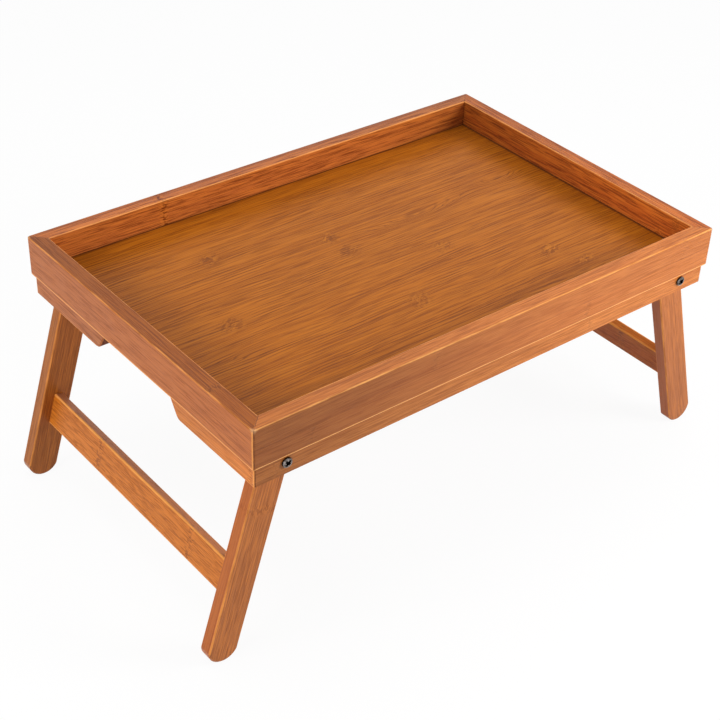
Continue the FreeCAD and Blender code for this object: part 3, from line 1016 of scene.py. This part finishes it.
metalLook = {
    "tone": tone(84, 74, 68), "worn": tone(158, 150, 146),
    "wornSeed": 6.0, "wornScale": 420.0, "wornCut": (0.35, 0.65),
    "scratchSeed": 3.0, "scratchScale": (900.0, 2600.0, 900.0), "scratchCut": (0.3, 0.7),
    "smooth": 0.16, "rough": 0.36, "bump": 0.1, "bumpDistance": 0.0001,
    # reaches are shares of the head's radius; the cut is how far out from the strip the cross turns
    # black. The black in the cross and round the rim is painted shade
    "recessReach": 0.74, "rimReach": 0.9, "rimPaintedShade": 0.8,
    "paintedShade": tone(6, 4, 5), "paintedShadeCut": (0.0023, 0.002139),
}


def metalMaterial(name, look, recessed):
    # dark nickel plate, worn brighter on its face, with painted shade black in its recesses and round the
    # rim of its head
    material, tree, shader = startMaterial(name, look["tone"])
    place = addNode(tree, "ShaderNodeTexCoord").outputs["Object"]
    scratch = noise(tree, place, look["scratchSeed"], scale=look["scratchScale"], detail=4.0)
    worn = noise(tree, place, look["wornSeed"], scale=look["wornScale"], detail=3.0)
    colour = mixColour(tree, mapRange(tree, worn, *look["wornCut"]), look["tone"], look["worn"])
    if recessed:
        x, y, z = parted(tree, vectorMaths(tree, "ABSOLUTE", place))
        x, z = minus(tree, x, pivotX), minus(tree, z, pivotZ)
        away = vectorMaths(tree, "LENGTH", joined(tree, x, 0.0, z))
        radius = boltShape["headRadius"]
        inside = maths(tree, "LESS_THAN", away, radius * look["recessReach"])
        # painted shade: black down in the cross recess and round the head's rim
        clean, black = look["paintedShadeCut"]
        deep = times(tree, inside, mapRange(tree, y, stripFace + clean, stripFace + black))
        rim = mapRange(tree, away, radius * look["rimReach"], radius)
        paintedShade = maths(tree, "MAXIMUM", deep, times(tree, rim, look["rimPaintedShade"]))
        colour = mixColour(tree, paintedShade, colour, look["paintedShade"])
    shader.inputs["Metallic"].default_value = 1.0
    rough = mapRange(tree, scratch, *look["scratchCut"], look["smooth"], look["rough"])
    finishSurface(tree, shader, look, colour, rough, scratch)
    return material


nylonLook = {
    "tone": tone(226, 222, 208), "shade": tone(190, 184, 166), "shadeCut": (0.35, 0.65),
    "mottleSeed": 2.0, "mottleScale": 600.0,
    "roughCut": (0.2, 0.8), "smooth": 0.45, "rough": 0.6,
    "bump": 0.08, "bumpDistance": 0.0001,
}


def nylonMaterial(name, look):
    material, tree, shader = startMaterial(name, look["tone"])
    place = addNode(tree, "ShaderNodeTexCoord").outputs["Object"]
    mottle = noise(tree, place, look["mottleSeed"], scale=look["mottleScale"], detail=3.0)
    colour = mixColour(tree, mapRange(tree, mottle, *look["shadeCut"]), look["tone"], look["shade"])
    rough = mapRange(tree, mottle, *look["roughCut"], look["smooth"], look["rough"])
    finishSurface(tree, shader, look, colour, rough, mottle)
    return material


boltMetal = metalMaterial("bolt_metal", metalLook, recessed=True)
plateMetal = metalMaterial("plate_metal", metalLook, recessed=False)
nylon = nylonMaterial("nylon", nylonLook)
dress("nylon_washers", nylon)
dress("steel_washers", plateMetal)

boltMesh = atEachPivot([boltHead(boltShape), boltShank(boltShape)], "pivotBolts", -stripFace)
bolts = meshPiece("pivotBolts", "tray", boltMesh, boltMetal)
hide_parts("pivot_bolts")
nutLow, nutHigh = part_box("lock_nuts")
nutBase = min(abs(nutLow[1]), abs(nutHigh[1]))
nutMesh = atEachPivot(lockNut(nutShape), "lockNuts", -nutBase)
nuts = meshPiece("lockNuts", "tray", nutMesh, plateMetal)
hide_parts("lock_nuts")
insertMesh = atEachPivot([asMesh(nutInsert(nutShape), "insert")], "nutInserts", -nutBase)
meshPiece("nutInserts", "tray", insertMesh, nylon)
print("bed tray: bolts and nuts made")


# floor, light and camera

stageLook = {
    "half": 6.0, "floorTone": (0.86, 0.86, 0.86, 1.0), "glow": 0.93,
    "worldTone": (1.0, 1.0, 1.0, 1.0), "worldDiffuse": 0.36,
}


def seenDirectly(tree):
    # 1 for rays from the camera, from gloss and through glass
    path = addNode(tree, "ShaderNodeLightPath").outputs
    seen = maths(tree, "MAXIMUM", path["Is Camera Ray"], path["Is Glossy Ray"])
    return maths(tree, "MAXIMUM", seen, path["Is Transmission Ray"])


def makeFloor(look):
    form = bmesh.new()
    half = look["half"]
    corners = [(-half, -half, 0.0), (half, -half, 0.0), (half, half, 0.0), (-half, half, 0.0)]
    form.faces.new([form.verts.new(corner) for corner in corners])
    floor = addObject("studioFloor", asMesh(form, "studioFloor"))
    material = bpy.data.materials.new("studio_floor")
    tree = emptyTree(material)
    paper = addNode(tree, "ShaderNodeBsdfDiffuse")
    paper.inputs["Color"].default_value = look["floorTone"]
    glow = addNode(tree, "ShaderNodeEmission")
    mix = addNode(tree, "ShaderNodeMixShader")
    feed(tree, mix.inputs[0], times(tree, seenDirectly(tree), look["glow"]))
    tree.links.new(paper.outputs[0], mix.inputs[1])
    tree.links.new(glow.outputs[0], mix.inputs[2])
    output = addNode(tree, "ShaderNodeOutputMaterial")
    tree.links.new(mix.outputs[0], output.inputs["Surface"])
    floor.data.materials.append(material)


def makeWorld(look):
    world = bpy.data.worlds.new("studioWorld")
    bpy.context.scene.world = world
    tree = emptyTree(world)
    sky = addNode(tree, "ShaderNodeBackground")
    sky.inputs["Color"].default_value = look["worldTone"]
    strength = mapRange(tree, seenDirectly(tree), 0.0, 1.0, look["worldDiffuse"], 1.0, kind="LINEAR")
    feed(tree, sky.inputs["Strength"], strength)
    output = addNode(tree, "ShaderNodeOutputWorld")
    tree.links.new(sky.outputs[0], output.inputs["Surface"])


makeFloor(stageLook)
makeWorld(stageLook)

# place, aim, width and height in metres, power in watts, and whether the lamp shows in glossy surfaces
lamps = {
    "overheadSoft": {"place": (0.1, 0.3, 1.9), "aim": (0.0, 0.0, 0.2), "size": (1.6, 1.2),
                     "power": 17.0, "gloss": True},
    "leftSoft": {"place": (-1.7, -0.1, 0.75), "aim": (-0.2, 0.0, 0.15), "size": (1.0, 1.0),
                 "power": 15.5, "gloss": True},
    "frontRight": {"place": (0.95, -1.05, 0.7), "aim": (0.2, -0.1, 0.15), "size": (0.6, 0.6),
                   "power": 17.0, "gloss": False},
}


def makeLamp(name, look):
    lamp = bpy.data.lights.new(name, "AREA")
    lamp.shape = "RECTANGLE"
    lamp.size, lamp.size_y = look["size"]
    lamp.energy = look["power"]
    holder = addObject(name, lamp)
    holder.location = look["place"]
    aim = Vector(look["aim"]) - Vector(look["place"])
    holder.rotation_euler = aim.to_track_quat("-Z", "Y").to_euler()
    holder.visible_glossy = look["gloss"]


for name, look in lamps.items():
    makeLamp(name, look)

cameraView = {
    "azimuth": math.radians(-41.372),
    "elevation": math.radians(35.108),
    "roll": math.radians(3.228),
    "distance": 1.171964,
    "aim": (-0.105904, -0.158881, 0.232553),
    "lens": 76.0906,
    "shift": (-0.056532, -0.002233),
}


def makeCamera(look):
    azimuth, elevation, roll = look["azimuth"], look["elevation"], look["roll"]
    back = Vector((math.sin(azimuth) * math.cos(elevation), -math.cos(azimuth) * math.cos(elevation),
                   math.sin(elevation)))
    level = Vector((0.0, 0.0, 1.0)).cross(back).normalized()
    above = back.cross(level)
    right = math.cos(roll) * level + math.sin(roll) * above
    up = math.cos(roll) * above - math.sin(roll) * level
    data = bpy.data.cameras.new("photoCamera")
    data.sensor_width = 36.0
    data.lens = look["lens"]
    data.shift_x, data.shift_y = look["shift"]
    camera = addObject("photoCamera", data)
    turn = Matrix((right, up, back)).transposed().to_4x4()
    camera.matrix_world = Matrix.Translation(Vector(look["aim"]) + back * look["distance"]) @ turn
    bpy.context.scene.camera = camera


makeCamera(cameraView)
bpy.context.scene.view_settings.view_transform = "Standard"
print("bed tray: stage, lamps and camera set")

bpy.context.view_layer.update()
